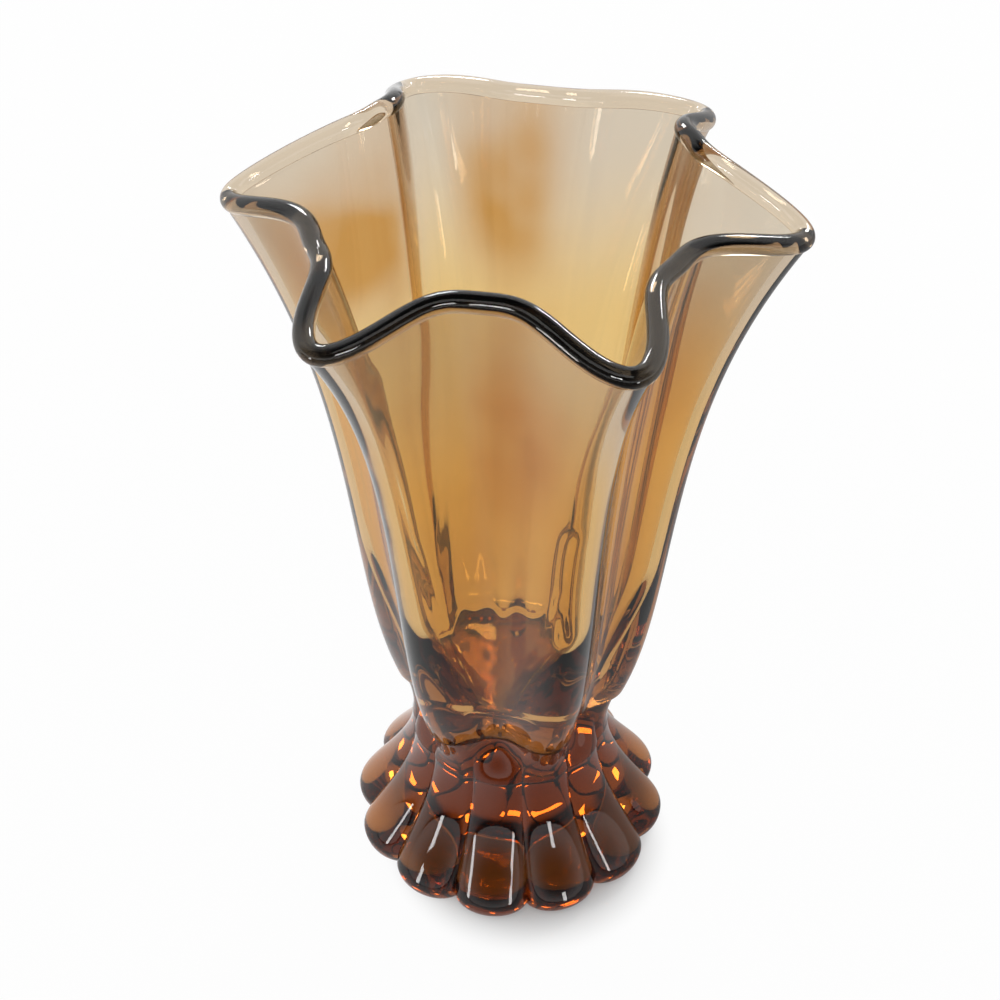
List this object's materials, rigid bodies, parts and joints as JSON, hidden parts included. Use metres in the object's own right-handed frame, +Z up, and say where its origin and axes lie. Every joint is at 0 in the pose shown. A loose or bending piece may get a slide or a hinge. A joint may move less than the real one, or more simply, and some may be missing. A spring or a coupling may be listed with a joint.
{
  "type": "trumpet vase",
  "caption": "Flared trumpet vase in amber glass, with a lobed bowl, a wavy rolled lip, a fluted collar and a ribbed bell foot.",
  "frame": {"origin": "middle of the flat ring that the foot stands on", "axes": "+Z up along the vase's axis, +X towards one lobe of the bowl"},
  "size_m": [0.1546, 0.1302, 0.241],
  "materials": {
    "bowl_glass": "clear amber, polished",
    "lip_glass": "smoked, fire-polished",
    "collar_glass": "clear deep amber, polished",
    "foot_glass": "clear deep amber, polished"
  },
  "bodies": {
    "root": {"bowl": "bowl_glass", "lip": "lip_glass", "collar": "collar_glass", "foot": "foot_glass"}
  },
  "joints": []
}
